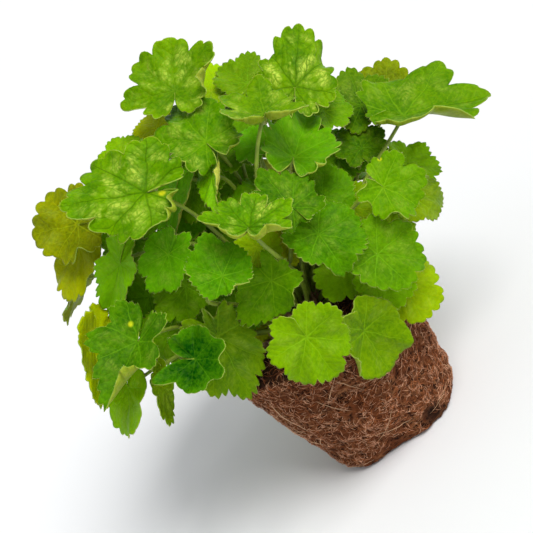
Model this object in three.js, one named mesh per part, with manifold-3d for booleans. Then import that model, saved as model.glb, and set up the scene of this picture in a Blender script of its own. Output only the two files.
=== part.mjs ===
// A lime-leaved coral bells (heuchera) knocked out of its nursery pot: the pot-shaped ball of
// compost and roots, the woody crown that sits in it, and the scalloped leaves on their stalks.
// Millimetres, +Z up. The origin is the middle of the root ball's flat foot.
import * as THREE from "three";
import { mergeVertices } from "three/addons/utils/BufferGeometryUtils.js";
import Module from "manifold-3d";

// ---- driving dimensions ------------------------------------------------------------------------

// top, foot: radii of the root ball. rings: heights of the wall's rings, as shares of its height.
const BALL = {
  top: 57, foot: 44, height: 94, sides: 28, lump: 1.3, footRound: 5, rimRound: 4,
  rings: [0.22, 0.38, 0.54, 0.7, 0.85],
};
// Compost has crumbled away from one side of the foot.
const DENT = { bearing: -106, wide: 46, deep: 10, low: 4, high: 40 };
// The rootstock: a low woody dome, `gap` clear of the soil it is sunk in and of the stalks.
const CROWN = { radius: 29, depth: 8, dome: 7, sides: 18, gap: 0.3 };
// edges: bearings of the cuts between lobes, from the tip round to the sinus. places: where the
// edge is sampled across a lobe, -1 and 1 being its cuts, and few: the same beside the stalk and
// on blades with a span under small. Those in mids have a point on the ring halfway in. taper: how
// much shorter the sides are than the tip. notch: how much shorter the basal lobes are. crease:
// half width of a fold.
const BLADE = {
  thickness: 0.7, edges: [24, 72, 118, 165],
  places: [-1, -0.66, -0.24, 0.24, 0.66], few: [-1, -0.4, 0.4], mids: [-1, 0.24, 0.4, 1], small: 25,
  midRing: 0.56, taper: 0.13, cutPower: 2.4, notch: 0.4, notchFrom: 130, crease: 1.5, pleat: 0.1,
};
// spread: how far from the middle of the crown the lowest stalks spring. start, end: how much of
// its length a stalk keeps its first and last direction. hang: how far it leans back at the hub.
// under, ahead: its end lies that much below the hub and towards the tip. shoot: how far from the
// middle the shoots of the back spring.
const STALK = {
  foot: 1.35, neck: 0.95, sides: 4, steps: 4, spread: 24, rooted: 3, shoot: 19, steep: 0.62, start: 0.33, end: 0.3,
  under: 0.45, ahead: 0.3, hang: 40,
};

// The two cuts of leaf: rounded with shallow lobes, or cut deeply into scallops.
const CUTS = {
  round: { lobe: 0.13 },
  deep: { lobe: 0.27 },
};

const TONES = {
  lime: { color: 0x86b516, roughness: 0.5 },
  green: { color: 0x5c9c14, roughness: 0.45 },
  dark: { color: 0x3c7a12, roughness: 0.45 },
  olive: { color: 0x8a9220, roughness: 0.6 },
};

// The front view looks down on the plant by RISE degrees and is rolled by ROLL degrees, so that
// the plant leans to the left in it.
const FRONT = { rise: 25, roll: 43 };

const { degToRad, radToDeg, clamp, lerp, smoothstep } = THREE.MathUtils;
const vec = (x, y, z) => new THREE.Vector3(x, y, z);
const UP = vec(0, 0, 1);

// ---- the leaves --------------------------------------------------------------------------------
// Leaves of the front are set out in the front view, x across, y up and z towards the viewer,
// from the middle of the crown at soil level. at: the hub, where stalk and blade meet. span: hub
// to tip. tip: where the midrib points, anticlockwise from the right. face: the way the upper
// side is turned, and by how much, off the line to the viewer. cup: the sides rise. curl: the tip
// droops. fold: a crease along the midrib, as a slope. base: the lobes beside the stalk turn up.
// lobes: how long each lobe is against an even leaf's, from the left of the stalk round to its right.
// bow: pushes the stalk's belly sideways and up. foot: moves the stalk's foot along X and Y.
// All angles are in degrees.
const FRONT_LEAVES = [
  { at: [-65, 114, 52], span: 31, tip: 95, face: [120, 20],
    cup: 20, base: 30, cut: "deep", lobes: [0.8, 1.1, 0.92, 0.95, 1, 0.9, 0.8], tone: "lime", foot: [0, 3] },
  { at: [-48, 119, 20], span: 21, tip: 80, face: [90, 40], tone: "olive" },
  { at: [-28, 123, 22], span: 21, tip: 90, face: [90, 35], tone: "green" },
  { at: [-3, 117, 48], span: 39, tip: 86, face: [90, 20],
    wide: 0.7, curl: 10, cut: "deep", lobes: [0.8, 0.92, 0.7, 1.04, 0.68, 0.9, 0.78], tone: "lime", foot: [0, -3] },
  { at: [-19, 98, 86], span: 23, tip: 100, face: [95, 40],
    wide: 1.1, cup: 15, base: 25, cut: "deep", lobes: [0.85, 1, 1.05, 0.95, 0.72, 1, 0.85], tone: "lime", bow: [-6, 18], foot: [-3, 0] },
  { at: [-48, 86, 68], span: 33, tip: 130, face: [120, 25],
    wide: 0.8, curl: 15, cut: "deep", lobes: [0.55, 0.7, 1.08, 1.02, 0.9, 0.74, 0.64], tone: "lime", bow: [15, 12], foot: [0, 3] },
  { at: [-75, 97, 34], span: 15, tip: 140, face: [130, 40], tone: "olive" },
  { at: [-77, 60, 80], span: 44, tip: 190, face: [130, 20],
    wide: 0.72, curl: 10, cut: "deep", lobes: [0.48, 0.72, 0.78, 1, 0.95, 1, 0.65], tone: "lime" },
  { at: [-92, 79, 45], span: 17, tip: 121, face: [120, 40], tone: "green", bow: [-8, 0] },
  { at: [-64, 62, 50], span: 33, tip: 248, face: [210, 45],
    wide: 0.4, curl: 10, tone: "green", bow: [0, 12], foot: [-3, 0] },
  { at: [-118, 46, 34], span: 30, tip: 190, face: [170, 28],
    wide: 0.9, lobes: [0.7, 0.62, 0.76, 1, 1, 0.92, 0.8], tone: "olive", foot: [0, 3] },
  { at: [-119, 34, 20], span: 32, tip: 258, face: [170, 30],
    wide: 0.6, curl: 10, lobes: [0.9, 0.9, 0.8, 1, 1, 0.9, 0.9], tone: "olive", bow: [6, 0] },
  { at: [-93, 25, 50], span: 30, tip: 250, face: [200, 40],
    wide: 0.52, cup: 30, fold: 0.2, lobes: [0.8, 1, 1, 1, 0.95, 0.55, 0.8], tone: "dark" },
  { at: [-110, -19, 36], span: 33, tip: 278, face: [0, 65], wide: 0.7, fold: 0.2, tone: "olive" },
  { at: [-83, -14, 62], span: 34, tip: 250, face: [140, 30],
    wide: 0.82, cup: 30, fold: 0.3, lobes: [0.62, 0.55, 0.68, 1.08, 0.7, 0.66, 0.78], tone: "green" },
  { at: [-90, -40, 40], span: 28, tip: 268, face: [180, 55], wide: 0.7, tone: "green" },
  { at: [-72, -38, 50], span: 22, tip: 280, face: [0, 40], wide: 0.35, tone: "olive" },
  { at: [-53, -22, 76], span: 19, tip: 0, face: [150, 15],
    cup: 25, curl: -25, lobes: [1.2, 1, 0.78, 0.7, 0.78, 1.12, 1.6], tone: "dark", bow: [-18, 6], foot: [0, -3] },
  { at: [-43, -12, 51], span: 42, tip: 296, face: [300, 30],
    wide: 0.56, fold: 0.15, lobes: [0.4, 0.62, 0.95, 1, 1, 0.8, 0.4], tone: "lime" },
  { at: [2, -11, 77], span: 26, tip: 308, face: [310, 10],
    wide: 0.95, cup: 8, lobes: [0.9, 1, 1, 0.94, 0.96, 1, 0.95], tone: "lime" },
  { at: [32, -9, 57], span: 28, tip: 302, face: [330, 35], wide: 0.8, fold: 0.2, tone: "lime" },
  { at: [55, 12, 40], span: 23, tip: 345, face: [0, 18], wide: 0.9, tone: "lime", bow: [0, 10] },
  { at: [38, 30, 66], span: 27, tip: 355, face: [30, 20],
    wide: 0.85, cup: 10, lobes: [1, 1, 1, 0.97, 0.95, 0.88, 0.9], tone: "green", bow: [6, 6], foot: [3, 0] },
  { at: [23, 23, 50], span: 19, tip: 248, face: [270, 15], tone: "lime" },
  { at: [43, 19, 53], span: 19, tip: 290, face: [310, 15], tone: "lime", bow: [0, -6], foot: [-3, 0] },
  { at: [8, 40, 72], span: 26, tip: 348, face: [80, 25], wide: 0.85, cup: 10, tone: "green" },
  { at: [41, 64, 67], span: 24, tip: 332, face: [60, 15],
    wide: 0.95, cup: 8, lobes: [0.75, 1, 0.96, 0.82, 0.62, 0.57, 0.52], tone: "lime", bow: [-10, 0], foot: [-3, 0] },
  { at: [59, 61, 34], span: 27, tip: 3, face: [20, 30], wide: 0.6, curl: 30, tone: "lime" },
  { at: [58, 79, 16], span: 23, tip: 0, face: [45, 35], wide: 0.75, tone: "green" },
  { at: [54, 103, 40], span: 46, tip: 13, face: [95, 52],
    wide: 0.68, fold: 0.35, lobes: [0.52, 0.85, 0.95, 1.06, 1, 0.85, 0.55], tone: "lime", bow: [-12, 0], foot: [-3, 0] },
  { at: [49, 120, 5], span: 22, tip: 88, face: [90, 25], tone: "olive" },
  { at: [34, 111, 20], span: 24, tip: 110, face: [90, 30], tone: "green" },
  { at: [13, 106, 36], span: 17, tip: 55, face: [70, 35], tone: "lime" },
  { at: [-4, 79, 65], span: 32, tip: 72, face: [70, 40],
    wide: 0.85, fold: 0.45, lobes: [0.7, 0.68, 0.72, 1.05, 0.85, 0.65, 0.7], tone: "green", bow: [0, 6] },
  { at: [-23, 85, 56], span: 14, tip: 120, face: [110, 35], tone: "dark" },
  { at: [-5, 53, 82], span: 23, tip: 135, face: [90, 25],
    wide: 0.95, cup: 20, lobes: [0.5, 0.6, 1, 1.04, 0.88, 0.72, 0.62], tone: "green", foot: [-3, 0], bow: [0, 12] },
  { at: [-26, 42, 100], span: 23, tip: 78, face: [95, 40],
    wide: 1.1, fold: 0.2, base: 25, cut: "deep", lobes: [0.85, 1.1, 0.9, 0.9, 1, 0.95, 0.85], tone: "lime", bow: [18, 0], foot: [0, -6] },
  { at: [-39, 19, 93], span: 21, tip: 115, face: [90, 25],
    wide: 0.95, cup: 20, lobes: [0.6, 0.8, 1, 1.05, 0.95, 0.85, 0.6], tone: "green", bow: [-18, 18], foot: [0, 3] },
  { at: [-15, 17, 69], span: 26, tip: 236, face: [230, 15],
    wide: 0.78, cup: 8, lobes: [0.58, 0.64, 0.85, 1, 0.8, 0.46, 0.62], tone: "lime" },
  { at: [-67, 30, 67], span: 22, tip: 243, face: [230, 20], wide: 0.68, cup: 10, tone: "green" },
  { at: [-59, 14, 54], span: 25, tip: 231, face: [230, 25], wide: 0.7, tone: "green" },
  { at: [-58, 49, 34], span: 15, tip: 240, face: [210, 25], wide: 0.8, tone: "dark", foot: [-3, 0] },
  { at: [-45, 69, 66], span: 19, tip: 275, face: [150, 45], wide: 0.6, tone: "dark" },
  { at: [11, 60, 50], span: 20, tip: 86, face: [80, 25], tone: "dark" },
  { at: [26, 55, 42], span: 17, tip: 86, face: [80, 25], tone: "olive" },
  { at: [33, 87, 30], span: 17, tip: 98, face: [90, 30], tone: "dark" },
  { at: [-23, 34, 56], span: 15, tip: 290, face: [90, 25], tone: "olive" },
];

// Shoots of the back ring the crown, each of leaves on stalks that spring from one foot. bearing:
// anticlockwise from +X. Each leaf: how far out and how high above the soil its hub stands, and
// how far its blade tips outwards from level.
const BACK_SHOOTS = [
  { bearing: 16, tone: "green", leaves: [
    { out: 87, high: 13, droop: 62, span: 26 },
  ] },
  { bearing: 36, tone: "lime", leaves: [
    { out: 106, high: 50, droop: 52, span: 29 },
    { out: 76, high: 92, droop: 32, span: 27 },
  ] },
  { bearing: 58, tone: "green", leaves: [
    { out: 100, high: 32, droop: 58, span: 28 },
    { out: 100, high: 76, droop: 42, span: 27 },
  ] },
  { bearing: 80, tone: "lime", leaves: [
    { out: 108, high: 52, droop: 50, span: 30 },
    { out: 66, high: 96, droop: 30, span: 28 },
  ] },
  { bearing: 102, tone: "green", leaves: [
    { out: 100, high: 32, droop: 58, span: 28 },
    { out: 96, high: 80, droop: 42, span: 29 },
  ] },
  { bearing: 124, tone: "lime", leaves: [
    { out: 108, high: 54, droop: 50, span: 29 },
    { out: 62, high: 100, droop: 26, span: 28 },
  ] },
  { bearing: 144, tone: "green", leaves: [
    { out: 102, high: 34, droop: 56, span: 27 },
    { out: 98, high: 80, droop: 42, span: 28 },
  ] },
  { bearing: 163, tone: "olive", leaves: [
    { out: 104, high: 52, droop: 50, span: 26 },
    { out: 64, high: 74, droop: 32, span: 22 },
  ] },
];

// ---- solids ------------------------------------------------------------------------------------

const wasm = await Module();
wasm.setup();

/** Solid from a list of corner points and a list of triangles of their numbers. */
function solidOf(points, triangles) {
  const geometry = new THREE.BufferGeometry();
  const flat = points.flatMap((p) => [p.x, p.y, p.z]);
  geometry.setAttribute("position", new THREE.Float32BufferAttribute(flat, 3));
  geometry.setIndex(triangles.flat());
  return solid(geometry);
}

function solid(geometry) {
  const clean = geometry.clone();
  clean.deleteAttribute("normal");
  clean.deleteAttribute("uv");
  const merged = mergeVertices(clean, 1e-4);
  return new wasm.Manifold(new wasm.Mesh({
    numProp: 3,
    vertProperties: new Float32Array(merged.attributes.position.array),
    triVerts: new Uint32Array(merged.index.array),
  }));
}

function meshOf(name, shape, look) {
  const { vertProperties, triVerts } = shape.getMesh();
  const geometry = new THREE.BufferGeometry();
  geometry.setAttribute("position", new THREE.Float32BufferAttribute(vertProperties, 3));
  geometry.setIndex(Array.from(triVerts));
  geometry.computeVertexNormals();
  const mesh = new THREE.Mesh(geometry, new THREE.MeshStandardMaterial({ metalness: 0, ...look }));
  mesh.name = name;
  return mesh;
}

/** Closed tube of rings, one [centre, radius] a ring, each ring square to its own axis. */
function tube(rings, axes, sides) {
  const points = [];
  const triangles = [];
  let side = vec(1, 0, 0).cross(axes[0]);
  if (side.length() < 0.2) side = vec(0, 1, 0).cross(axes[0]);
  rings.forEach(([centre, radius], r) => {
    side.addScaledVector(axes[r], -side.dot(axes[r])).normalize();
    const other = axes[r].clone().cross(side);
    for (let k = 0; k < sides; k += 1) {
      const turn = (2 * Math.PI * k) / sides;
      points.push(centre.clone()
        .addScaledVector(side, radius * Math.cos(turn))
        .addScaledVector(other, radius * Math.sin(turn)));
    }
  });
  for (let r = 0; r < rings.length - 1; r += 1) {
    for (let k = 0; k < sides; k += 1) {
      const a = r * sides + k;
      const b = r * sides + ((k + 1) % sides);
      triangles.push([a, b, b + sides], [a, b + sides, a + sides]);
    }
  }
  const last = (rings.length - 1) * sides;
  for (let k = 1; k < sides - 1; k += 1) {
    triangles.push([0, k + 1, k], [last, last + k, last + k + 1]);
  }
  return solidOf(points, triangles);
}

// ---- root ball and crown -----------------------------------------------------------------------

/** Profile of the root ball, foot to soil: [radius, height] pairs. */
function ballProfile() {
  const { top, foot, height, footRound, rimRound, rings } = BALL;
  const wall = (z) => lerp(foot, top, z / height);
  return [
    [foot - footRound, 0],
    [foot - footRound * 0.25, footRound * 0.3],
    [wall(footRound), footRound],
    ...rings.map((share) => [wall(share * height), share * height]),
    [wall(height - rimRound), height - rimRound],
    [top - rimRound * 0.4, height - rimRound * 0.3],
    [top - rimRound * 1.6, height],
    [top * 0.66, height],
  ];
}

/** Lumps of the wall: slow waves round and up it, none on the foot or the soil, and the dent. */
function lump(turn, z) {
  const inside = Math.sin(Math.PI * clamp(z / BALL.height, 0, 1));
  const waves = Math.sin(3 * turn + z / 19) + Math.sin(5 * turn - z / 11 + 1) * 0.7;
  const aside = degToRad(180 - Math.abs(180 - Math.abs((radToDeg(turn) - DENT.bearing) % 360)));
  const across = Math.cos(clamp((aside * 90) / DENT.wide, 0, Math.PI / 2)) ** 2;
  return BALL.lump * inside * waves - DENT.deep * across * (1 - smoothstep(z, DENT.low, DENT.high));
}

function rootBall() {
  const { sides } = BALL;
  const profile = ballProfile();
  const points = [];
  const triangles = [];
  profile.forEach(([radius, z]) => {
    for (let k = 0; k < sides; k += 1) {
      const turn = (2 * Math.PI * k) / sides;
      const r = radius + lump(turn, z);
      points.push(vec(r * Math.cos(turn), r * Math.sin(turn), z));
    }
  });
  const foot = points.length;
  points.push(vec(0, 0, 0), vec(0, 0, BALL.height));
  for (let k = 0; k < sides; k += 1) {
    const next = (k + 1) % sides;
    triangles.push([foot, next, k]);
    for (let r = 0; r < profile.length - 1; r += 1) {
      const a = r * sides + k;
      const b = r * sides + next;
      triangles.push([a, b, b + sides], [a, b + sides, a + sides]);
    }
    const last = (profile.length - 1) * sides;
    triangles.push([foot + 1, last + k, last + next]);
  }
  return solidOf(points, triangles).subtract(crown(CROWN.gap));
}

/** The rootstock, grown larger all over by `gap`. */
function crown(gap) {
  const { radius, depth, dome, sides } = CROWN;
  const profile = [
    [0, -depth - gap], [radius * 0.7 + gap, -depth - gap], [radius + gap, -depth * 0.4 - gap * 0.6],
    [radius + gap, gap / 2], [radius * 0.86 + gap, dome * 0.45 + gap * 0.75],
    [radius * 0.5, dome * 0.88 + gap], [0, dome + gap],
  ].map(([r, z]) => new THREE.Vector2(r, z));
  const turned = new THREE.LatheGeometry(profile, sides).rotateX(Math.PI / 2);
  return solid(turned.translate(0, 0, BALL.height));
}

/** Height of the crown's skin above the soil at a distance from its middle. */
function crownHeight(r) {
  return CROWN.dome * (1 - clamp(r / CROWN.radius, 0, 1) ** 3);
}

// ---- leaf blade --------------------------------------------------------------------------------

/** Samples along the leaf's edge, left to right: bearing from the tip, lobe and place in it. */
function edgeSamples(span) {
  const { edges, places, few, small } = BLADE;
  const list = [];
  const bounds = [...edges.map((e) => -e).reverse(), ...edges];
  for (let b = 0; b < bounds.length - 1; b += 1) {
    const outer = b === 0 || b === bounds.length - 2;
    for (const s of outer || span < small ? few : places) {
      list.push({ bearing: lerp(bounds[b], bounds[b + 1], (s + 1) / 2), lobe: b, s });
    }
  }
  list.push({ bearing: edges[edges.length - 1], lobe: bounds.length - 2, s: 1 });
  return list;
}

/** Length of the blade from hub to edge at a bearing from the tip, for a span of 1. */
function reach(bearing, s, cut, long) {
  const { edges, taper, cutPower, notch, notchFrom } = BLADE;
  const rim = 1 - taper + taper * Math.cos(degToRad(bearing));
  const own = Math.cos((Math.PI / 2) * s) ** 2;
  const lobed = 1 - cut.lobe * Math.abs(s) ** cutPower + (long - 1) * own;
  const last = edges[edges.length - 1];
  const basal = clamp((Math.abs(bearing) - notchFrom) / (last - notchFrom), 0, 1);
  return rim * lobed * (1 - notch * basal ** 1.6);
}

/** Flat leaf point to its place on the shaped blade: tip along +Y, upper side +Z, hub at 0. */
function shapeBlade(flatX, y, { span, wide = 1, cup = 0, curl = 0, fold = 0, base = 0, pleat = 0 }) {
  const x = flatX * wide;
  const radius = Math.hypot(x, y);
  let z = fold * (Math.hypot(x, BLADE.crease) - BLADE.crease) + pleat * radius;
  if (y < 0) z += (Math.tan(degToRad(base)) * y * y) / span;
  const across = degToRad(cup) / span || 1e-6;
  const along = degToRad(curl) / span || 1e-6;
  z += (1 - Math.cos(across * x)) / across - (1 - Math.cos(along * y)) / along;
  return vec(Math.sin(across * x) / across, Math.sin(along * y) / along, z);
}

/** The blade as one thin closed plate, the same triangles on both faces. */
function blade(leaf) {
  const cut = CUTS[leaf.cut ?? "round"];
  const flat = (bearing, length) => {
    const turn = degToRad(bearing);
    return [length * Math.sin(turn), length * Math.cos(turn)];
  };
  const samples = edgeSamples(leaf.span);
  const point = ({ bearing, lobe, s }, share) => {
    const long = leaf.lobes?.[lobe] ?? 1;
    const length = leaf.span * share * reach(bearing, share * s, cut, long);
    const pleat = (Math.abs(s) - 0.5) * BLADE.pleat;
    return shapeBlade(...flat(bearing, length), { ...leaf, pleat });
  };
  const mids = samples.flatMap(({ s }, k) => (BLADE.mids.includes(s) ? [k] : []));
  const skin = [
    shapeBlade(0, 0, leaf),
    ...mids.map((k) => point(samples[k], BLADE.midRing)),
    ...samples.map((sample) => point(sample, 1)),
  ];
  const edge = mids.length + 1;
  const faces = [];
  mids.slice(0, -1).forEach((from, m) => {
    const to = mids[m + 1];
    faces.push([0, m + 2, m + 1]);
    const middle = Math.round((from + to) / 2);
    for (let k = from; k < to; k += 1) {
      faces.push([k < middle ? m + 1 : m + 2, edge + k + 1, edge + k]);
    }
    faces.push([m + 1, m + 2, edge + middle]);
  });
  return thicken(skin, faces);
}

/** Plate of even thickness about a skin of triangles, walled along its open edge. */
function thicken(skin, faces) {
  const normals = skin.map(() => vec(0, 0, 0));
  const edges = new Map();
  for (const face of faces) {
    const [a, b, c] = face.map((k) => skin[k]);
    const normal = b.clone().sub(a).cross(c.clone().sub(a));
    face.forEach((k, n) => {
      normals[k].add(normal);
      const next = face[(n + 1) % 3];
      if (!edges.delete(`${next},${k}`)) edges.set(`${k},${next}`, [k, next]);
    });
  }
  const half = BLADE.thickness / 2;
  const points = [];
  for (const side of [half, -half]) {
    points.push(...skin.map((p, k) => p.clone().addScaledVector(normals[k].clone().normalize(), side)));
  }
  const low = skin.length;
  const triangles = faces.flatMap(([a, b, c]) => [[a, b, c], [c + low, b + low, a + low]]);
  for (const [a, b] of edges.values()) {
    triangles.push([b, a, a + low], [b, a + low, b + low]);
  }
  return solidOf(points, triangles);
}

// ---- stalk -------------------------------------------------------------------------------------

/** The direction in which a stalk comes up to the hub. */
function arrival({ normal, midrib }) {
  const hang = degToRad(STALK.hang);
  return normal.clone().multiplyScalar(Math.cos(hang)).addScaledVector(midrib, Math.sin(hang));
}

/** The curve that a stalk follows, from inside the crown to just under the hub. */
function stalkCurve(place, { bow = [0, 0], foot = [0, 0], from }) {
  const { hub, normal, midrib } = place;
  const rise = hub.clone().sub(vec(0, 0, BALL.height));
  const way = vec(rise.x, rise.y, 0).normalize();
  const off = Math.acos(rise.z / rise.length());
  const distance = from ?? STALK.spread * clamp(off / (Math.PI / 2), 0, 1.1) ** 0.8;
  const start = way.clone().multiplyScalar(distance).add(vec(...foot, 0));
  start.z = BALL.height + crownHeight(Math.hypot(start.x, start.y)) - STALK.rooted;
  const lean = off * STALK.steep;
  const out = way.clone().multiplyScalar(Math.sin(lean)).addScaledVector(UP, Math.cos(lean));
  const end = hub.clone().addScaledVector(normal, -STALK.under).addScaledVector(midrib, STALK.ahead);
  const length = end.distanceTo(start);
  const belly = UP.clone().cross(way).multiplyScalar(bow[0]).addScaledVector(UP, bow[1]);
  return new THREE.CubicBezierCurve3(
    start,
    start.clone().addScaledVector(out, STALK.start * length).add(belly),
    end.clone().addScaledVector(arrival(place), -STALK.end * length).add(belly),
    end,
  );
}

function stalk(place, leaf) {
  const curve = stalkCurve(place, leaf);
  const rings = [];
  const axes = [];
  for (let k = 0; k <= STALK.steps; k += 1) {
    const t = k / STALK.steps;
    rings.push([curve.getPoint(t), lerp(STALK.foot, STALK.neck, t)]);
    axes.push(k < STALK.steps ? curve.getTangent(t) : arrival(place));
  }
  return tube(rings, axes, STALK.sides);
}

// ---- whole leaves ------------------------------------------------------------------------------

/** Front-view directions in the part's frame: across, up and towards the viewer. */
function frontAxes() {
  const rise = degToRad(FRONT.rise);
  const roll = degToRad(FRONT.roll);
  const right = vec(1, 0, 0);
  const up = vec(0, Math.sin(rise), Math.cos(rise));
  const across = right.clone().multiplyScalar(Math.cos(roll)).addScaledVector(up, -Math.sin(roll));
  const above = right.clone().multiplyScalar(Math.sin(roll)).addScaledVector(up, Math.cos(roll));
  return [across, above, vec(0, -Math.cos(rise), Math.sin(rise))];
}

/** Hub, upper side and midrib of a leaf of the front, in the part's frame. */
function placeFront({ at, tip, face: [way, tilt] }) {
  const [across, above, near] = frontAxes();
  const toPart = (x, y, z) => vec(0, 0, 0)
    .addScaledVector(across, x).addScaledVector(above, y).addScaledVector(near, z);
  const lean = degToRad(tilt);
  const aim = degToRad(way);
  const n = vec(Math.sin(lean) * Math.cos(aim), Math.sin(lean) * Math.sin(aim), Math.cos(lean));
  const c = Math.cos(degToRad(tip));
  const s = Math.sin(degToRad(tip));
  return {
    hub: toPart(...at).add(vec(0, 0, BALL.height)),
    normal: toPart(n.x, n.y, n.z),
    midrib: toPart(c, s, -(n.x * c + n.y * s) / n.z).normalize(),
  };
}

/** Hub, upper side and midrib of a leaf of the back, in the part's frame. */
function placeBack(bearing, { out, high, droop, aside = 0 }) {
  const way = vec(1, 0, 0).applyAxisAngle(UP, degToRad(bearing + aside));
  const lean = degToRad(droop);
  return {
    hub: way.clone().multiplyScalar(out).add(vec(0, 0, BALL.height + high)),
    normal: UP.clone().multiplyScalar(Math.cos(lean)).addScaledVector(way, Math.sin(lean)),
    midrib: way.clone().multiplyScalar(Math.cos(lean)).addScaledVector(UP, -Math.sin(lean)),
  };
}

/** Blade and stalk joined, with the stalk's foot cut to sit against the crown. */
function leafSolid(leaf, place, crownClear) {
  const { hub, normal, midrib } = place;
  const across = midrib.clone().cross(normal);
  const seat = new THREE.Matrix4().makeBasis(across, midrib, normal).setPosition(hub);
  return stalk(place, leaf).subtract(crownClear).add(blade(leaf).transform(seat.elements));
}

/** The leaves of a shoot, as one body. */
function shootSolid({ bearing, leaves }, crownClear) {
  const from = STALK.shoot;
  const solids = leaves.map((leaf) => leafSolid({ ...leaf, from }, placeBack(bearing, leaf), crownClear));
  return solids.reduce((all, next) => all.add(next));
}

const nameOf = (kind, k) => `${kind}_${String(k + 1).padStart(2, "0")}`;

const plant = new THREE.Group();
plant.add(meshOf("root_ball", rootBall(), { color: 0x4a2f1f, roughness: 0.95 }));
plant.add(meshOf("crown", crown(0), { color: 0x6b4a2c, roughness: 0.9 }));

const crownClear = crown(CROWN.gap);
FRONT_LEAVES.forEach((leaf, k) => {
  plant.add(meshOf(nameOf("leaf", k), leafSolid(leaf, placeFront(leaf), crownClear), TONES[leaf.tone]));
});
BACK_SHOOTS.forEach((shoot, k) => {
  plant.add(meshOf(nameOf("shoot", k), shootSolid(shoot, crownClear), TONES[shoot.tone]));
});

export default plant;
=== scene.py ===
"""A lime-leaved coral bells out of its pot: a fibrous root ball, a woody crown and scalloped,
hairy leaves on slender stalks. The scene is in metres, and the tables and shapes of leaves are in
millimetres."""

import math
import random

import bpy
import numpy as np
from mathutils import Matrix, Vector


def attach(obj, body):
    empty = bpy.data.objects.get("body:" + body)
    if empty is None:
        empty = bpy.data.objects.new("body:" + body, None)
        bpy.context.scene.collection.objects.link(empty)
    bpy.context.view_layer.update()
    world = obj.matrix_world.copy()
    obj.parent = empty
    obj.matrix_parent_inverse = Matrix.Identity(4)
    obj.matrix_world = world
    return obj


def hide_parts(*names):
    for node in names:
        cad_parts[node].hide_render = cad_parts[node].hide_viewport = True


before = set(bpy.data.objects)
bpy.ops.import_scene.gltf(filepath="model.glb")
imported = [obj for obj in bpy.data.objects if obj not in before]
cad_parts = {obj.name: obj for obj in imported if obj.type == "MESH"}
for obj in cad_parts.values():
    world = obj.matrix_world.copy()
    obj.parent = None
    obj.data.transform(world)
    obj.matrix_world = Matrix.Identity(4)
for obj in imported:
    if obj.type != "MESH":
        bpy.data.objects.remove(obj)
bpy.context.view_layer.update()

MM = 0.001
BALL_TOP = 0.094
UP = np.array([0.0, 0.0, 1.0])
# Stands in for nothing where it divides.
NIL = 1e-6


# ---- leaf tables ----

def row(at, span, tip, face, tone, **shape):
    """A leaf in the front view's own axes, from the middle of the crown at soil level.

    at: its hub, right, up and near. span: hub to tip. tip: the way its tip points, from the right.
    face: the way its upper side leans, and how far. wide: how wide it is, as a share. fold: slope
    of its halves. cup, curl: bend across and along, over a span. base: lift of the basal lobes.
    cut: "deep" or "round". lobes: how long they are, from the left of the notch round to its right,
    seen from above. bow: the stalk's belly, aside and up. foot: shift of the stalk's foot, right
    and back. Angles are in degrees.
    """
    return {"at": at, "span": span, "tip": tip, "face": face, "tone": tone, **shape}


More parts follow.
